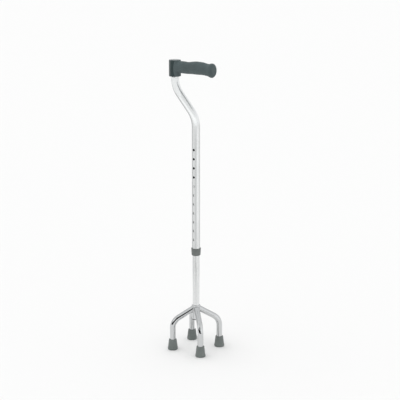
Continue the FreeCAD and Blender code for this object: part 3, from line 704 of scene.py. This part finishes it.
def grip_section(s):
    """Height, width and drop of the grip at a distance from the hub's axis, in millimetres, on a
    smooth curve through the sections."""
    table = GRIP_SECTIONS
    i = max(0, min(len(table) - 2, sum(1 for row in table if row[0] <= s) - 1))
    before, start, end = table[max(i - 1, 0)], table[i], table[i + 1]
    after = table[min(i + 2, len(table) - 1)]
    span = end[0] - start[0]
    t = (s - start[0]) / span
    sizes = []
    for k in (1, 2, 3):
        slope_in = (end[k] - before[k]) / max(end[0] - before[0], 1.0) * span
        slope_out = (after[k] - start[k]) / max(after[0] - start[0], 1.0) * span
        sizes.append(
            (2 * t ** 3 - 3 * t ** 2 + 1) * start[k] + (t ** 3 - 2 * t ** 2 + t) * slope_in
            + (3 * t ** 2 - 2 * t ** 3) * end[k] + (t ** 3 - t ** 2) * slope_out
        )
    return [size * MM for size in sizes]


def grip_point(s, angle, inset=0.01 * MM, flare=0.0):
    """A point of the grip's surface round its section at s, drawn in by inset or flared out. The
    smallest inset keeps the mesh inside the CAD's grip. The flare is less at the sides."""
    tall, wide, drop = grip_section(s / MM)
    y = (wide / 2 - inset + flare * 0.45) * cos(angle)
    z = GRIP_AXIS_Z - drop + (tall / 2 - inset + flare) * sin(angle)
    return Vector((s - NECK_OFFSET, y, z))


def grip_rows(sides):
    """Rings of points from the hub to the middle of the grip's end."""
    angles = [2 * pi * i / sides for i in range(sides)]
    root, clear, end = 18.0 * MM, 26.0 * MM, GRIP_SECTIONS[-1][0] * MM
    round_steps, body_steps = 8, 60
    apron_r = HUB_R + WRAP_PROUD
    rows = []
    for k in range(round_steps + 1):
        t = k / round_steps * pi / 2
        row = []
        for angle in angles:
            point = grip_point(root, angle, flare=ROOT_ROUND * (1 - sin(t)))
            point.x = sqrt(max(apron_r ** 2 - point.y ** 2, 0)) + ROOT_ROUND * (1 - cos(t)) - NECK_OFFSET
            row.append(point)
        rows.append(row)
    rooted = rows[-1]
    for k in range(1, round_steps + 1):
        row = []
        for angle, start in zip(angles, rooted):
            x = start.x + (clear - NECK_OFFSET - start.x) * k / round_steps
            row.append(grip_point(x + NECK_OFFSET, angle))
        rows.append(row)
    for k in range(1, body_steps + 1):
        s = clear + (end - GRIP_ROUND - clear) * k / body_steps
        rows.append([grip_point(s, angle) for angle in angles])
    for k in range(1, round_steps + 1):
        t = k / round_steps * pi / 2
        s = end - GRIP_ROUND * (1 - sin(t))
        rows.append([grip_point(s, angle, GRIP_ROUND * (1 - cos(t))) for angle in angles])
    middle = sum(rows[-1], Vector()) / sides
    for share in (0.72, 0.45, 0.2):
        rows.append([middle + (point - middle) * share for point in rows[-1]])
    return rows


def grip():
    """The soft grip: flows off the hub in a small round, swells under the palm, ends in a knob."""
    sides, around = HANDLE_SIDES, 2 * pi * 15 * MM
    points = grip_rows(sides)
    shell = Shell()
    rings = [shell.ring(row) for row in points]
    normals = surface_normals(points)
    travel = [0.0]
    for before, row in zip(points, points[1:]):
        travel.append(travel[-1] + (row[0] - before[0]).length)
    for j in range(len(rings) - 1):
        for i in range(sides):
            quad = [(j, i), (j, i + 1), (j + 1, i + 1), (j + 1, i)]
            shell.face(
                [rings[row][k % sides] for row, k in quad], [normals[row][k % sides] for row, k in quad],
                [(around * k / sides, travel[row]) for row, k in quad],
            )
    inside = Vector((GRIP_SECTIONS[0][0] * MM - NECK_OFFSET, 0, GRIP_AXIS_Z))
    outside = sum(points[-1], Vector()) / sides
    ends = (0, inside, Vector((-1, 0, 0))), (len(rings) - 1, outside, Vector((1, 0, 0)))
    for row, centre, facing in ends:
        middle = shell.ring([centre])[0]
        for i in range(sides):
            edge = [rings[row][i], rings[row][(i + 1) % sides]]
            corners = [*reversed(edge), middle] if row == 0 else [*edge, middle]
            shell.face(corners, [facing] * 3, [(0, travel[row])] * 3)
    shell.piece("grip_moulding", "upper", ["grip_rubber"], "grip_sleeve")


def surface_normals(points):
    """A normal for each point of a grid whose rows are rings, from its neighbours."""
    rows, sides = len(points), len(points[0])
    normals = []
    for j in range(rows):
        row = []
        for i in range(sides):
            round_way = points[j][(i + 1) % sides] - points[j][i - 1]
            long_way = points[min(j + 1, rows - 1)][i] - points[max(j - 1, 0)][i]
            row.append(round_way.cross(long_way))
        normals.append(row)
    return normals


def hub_wrap():
    """The soft moulding's apron: it wraps the hub's front, and ends at each side in a curved lip."""
    low_end, high_end, root = 0.35, hub_tall - 0.35, 15.4
    outline = rounded(
        (low_end, root), (low_end, hub_r, 0.5), (high_end, hub_r, 0.5), (high_end, root)
    )[1:-1]
    low_z, high_z = outline[0][0], outline[-1][0]
    levels = []
    for (s0, r0), (s1, r1) in zip(outline, outline[1:]):
        pieces = 24 if s1 - s0 > 5 * MM else 1
        levels += [(s0 + (s1 - s0) * k / pieces, r0 + (r1 - r0) * k / pieces) for k in range(pieces)]
    levels.append(outline[-1])
    steps, lip_steps, lip_share, buried = 64, 3, 0.012, 0.8 * MM
    lip = [(lip_share * k, WRAP_PROUD * sin(k / lip_steps * pi / 2)) for k in range(lip_steps + 1)]
    flat = 1.0 - lip_share * lip_steps
    columns = [(-1.0, -buried)]
    columns += [(-1.0 + share, proud) for share, proud in lip]
    columns += [(flat * (2 * k / steps - 1), WRAP_PROUD) for k in range(1, steps)]
    columns += [(1.0 - share, proud) for share, proud in reversed(lip)]
    columns += [(1.0, -buried)]
    grid = []
    for s, r in levels:
        height = 2 * (s - low_z) / (high_z - low_z) - 1
        reach = WRAP_HALF - WRAP_CURVE * height ** 2
        row = []
        for share, proud in columns:
            a = reach * share
            row.append(HUB_AT + Vector((cos(a) * (r + proud), sin(a) * (r + proud), s)))
        grid.append(row)
    shell = Shell()
    rings = [shell.ring(row) for row in grid]
    count = len(columns)
    for j in range(len(grid) - 1):
        for i in range(count):
            n = (i + 1) % count
            quad = [(j, i), (j, n), (j + 1, n), (j + 1, i)]
            if n == 0:
                normals = [Vector((-1, 0, 0))] * 4
            else:
                normals = [wrap_normal(grid, row, column) for row, column in quad]
            places = [(grid[row][column].y, grid[row][column].z) for row, column in quad]
            shell.face([rings[row][column] for row, column in quad], normals, places)
    for row, facing in ((0, -1), (len(grid) - 1, 1)):
        corners = rings[row] if row else rings[row][::-1]
        shell.face(corners, [Vector((0, 0, facing))] * count, [(0, 0)] * count)
    shell.piece("grip_apron", "upper", ["grip_rubber"])


def wrap_normal(grid, j, i):
    """The normal at one point of an open grid, from its neighbours."""
    row = grid[j]
    side_way = row[min(i + 1, len(row) - 1)] - row[max(i - 1, 0)]
    up_way = grid[min(j + 1, len(grid) - 1)][i] - grid[max(j - 1, 0)][i]
    return side_way.cross(up_way)


grip()
hub_wrap()


# ---- studio -------------------------------------------------------------------------------------

def studio_floor():
    """A plain pale floor without any shine, wide enough to fill the background."""
    shader = Shader("studio_floor", (0.83, 0.825, 0.82), 0.9, Specular_IOR_Level=0.0)
    mesh = bpy.data.meshes.new("studio_floor")
    reach = 40.0
    corners = [(-reach, -reach, 0), (reach, -reach, 0), (reach, reach, 0), (-reach, reach, 0)]
    mesh.from_pydata(corners, [], [(0, 1, 2, 3)])
    mesh.materials.append(shader.material)
    plane = bpy.data.objects.new("studio_floor", mesh)
    bpy.context.scene.collection.objects.link(plane)


def camera():
    """The photograph's view: a long lens, from in front and to the right, a little above. Returns the
    direction to the right of the picture."""
    azimuth, distance, shift, height, pitch = radians(VIEW_AZIMUTH), 2.934, 0.011, 1.193, radians(14.51)
    data = bpy.data.cameras.new("camera")
    data.sensor_width = 36.0
    data.lens = 99.0
    data.clip_end = 200.0
    eye = bpy.data.objects.new("camera", data)
    right = Vector((cos(azimuth), sin(azimuth), 0))
    eye.location = Vector((distance * sin(azimuth), -distance * cos(azimuth), height)) + right * shift
    eye.rotation_euler = (pi / 2 - pitch, 0, azimuth)
    bpy.context.scene.collection.objects.link(eye)
    bpy.context.scene.camera = eye
    return right


def reflected_card(name, turn, distance, heights, tone, centre=0.0):
    """A curved card that only reflections see. turn: from and to, in degrees to the right of the
    camera. heights: from and to, in metres. tone: its brightness. centre: the X it curves about."""
    start, end = (radians(VIEW_AZIMUTH - 90.0 + degree) for degree in turn)
    steps = 24
    points, faces = [], []
    for k in range(steps + 1):
        a = start + (end - start) * k / steps
        points += [(centre + distance * cos(a), distance * sin(a), height) for height in heights]
        if k:
            faces.append((2 * k - 2, 2 * k, 2 * k + 1, 2 * k - 1))
    mesh = bpy.data.meshes.new(name)
    mesh.from_pydata(points, [], faces)
    shader = Shader(name, (0.0, 0.0, 0.0), 1.0, Specular_IOR_Level=0.0, Emission_Strength=tone)
    shader.bsdf.inputs["Emission Color"].default_value = (0.99, 1.0, 1.0, 1.0)
    mesh.materials.append(shader.material)
    card = bpy.data.objects.new(name, mesh)
    card.visible_camera = card.visible_shadow = card.visible_diffuse = False
    bpy.context.scene.collection.objects.link(card)


def room(levels):
    """Soft light from all round. levels: the brightness at the sine of each height above the horizon."""
    world = bpy.data.worlds.new("studio")
    bpy.context.scene.world = world
    world.use_nodes = True
    tree = world.node_tree
    direction = tree.nodes.new("ShaderNodeTexCoord").outputs["Generated"]
    split = tree.nodes.new("ShaderNodeSeparateXYZ")
    tree.links.new(direction, split.inputs[0])
    ramp = tree.nodes.new("ShaderNodeValToRGB")
    tree.links.new(split.outputs["Z"], ramp.inputs["Fac"])
    stops = ramp.color_ramp.elements
    while len(stops) < len(levels):
        stops.new(0.5)
    for stop, (place, level) in zip(stops, levels):
        stop.position = place
        stop.color = (level * 0.99, level, level * 1.005, 1.0)
    tree.links.new(ramp.outputs["Color"], tree.nodes["Background"].inputs["Color"])
    tree.nodes["Background"].inputs["Strength"].default_value = 1.1


def daylight(direction, strength, spread):
    """A wide soft lamp high above, which shines on the floor but isn't seen in the chrome."""
    data = bpy.data.lights.new("high_soft_light", "SUN")
    data.energy = strength
    data.angle = radians(spread)
    lamp = bpy.data.objects.new("high_soft_light", data)
    lamp.rotation_euler = Vector(direction).to_track_quat("Z", "Y").to_euler()
    lamp.visible_glossy = False
    bpy.context.scene.collection.objects.link(lamp)


studio_floor()
image_right = camera()
to_camera = Vector((image_right.y, -image_right.x, 0))
up = Vector((0, 0, 1))
room(((0.0, 1.0), (0.34, 0.97), (0.64, 0.85), (0.87, 0.72), (1.0, 0.82)))
daylight(up - image_right * 0.35 - to_camera * 0.2, 0.9, 80)
# The dark room behind the camera, which draws the dark lines and the spot on the chrome legs, and a
# low edge in front of it.
reflected_card("dark_room", (-78, 16), 4.5, (0.02, 1.3), 0.01)
reflected_card("dark_room_high", (-36, 4), 4.5, (1.3, 3.8), 0.03)
reflected_card("table_edge", (-50, 35), 0.8, (0.0, 0.075), 0.02)
# Pale cards near the satin tubes, which keep the dark room out of them but not out of the legs.
reflected_card("neck_sky", (-55, 8), 0.6, (0.79, 1.34), 0.95, -NECK_OFFSET)
reflected_card("under_hub", (-100, 33), 0.03, (0.715, 0.7665), 1.05, -NECK_OFFSET)
reflected_card("tube_card_left", (-85, 2), 0.2, (0.22, 0.625), 0.87)
reflected_card("tube_card_right", (2, 33), 0.2, (0.19, 0.625), 0.87)
reflected_card("neck_card", (-85, 33), 0.2, (0.625, 0.738), 1.25)
reflected_card("camera_side", (-30, 2), 0.15, (0.215, 0.6), 0.72)
# The walls at the sides: a bright one, and two greyer ones further round.
reflected_card("bright_wall", (28, 66), 1.0, (0.0, 0.5), 1.15)
reflected_card("left_wall", (-165, -95), 0.6, (0.0, 0.6), 0.66)
reflected_card("right_wall", (105, 165), 0.6, (0.0, 0.6), 0.74)
bpy.context.scene.view_settings.view_transform = "Standard"
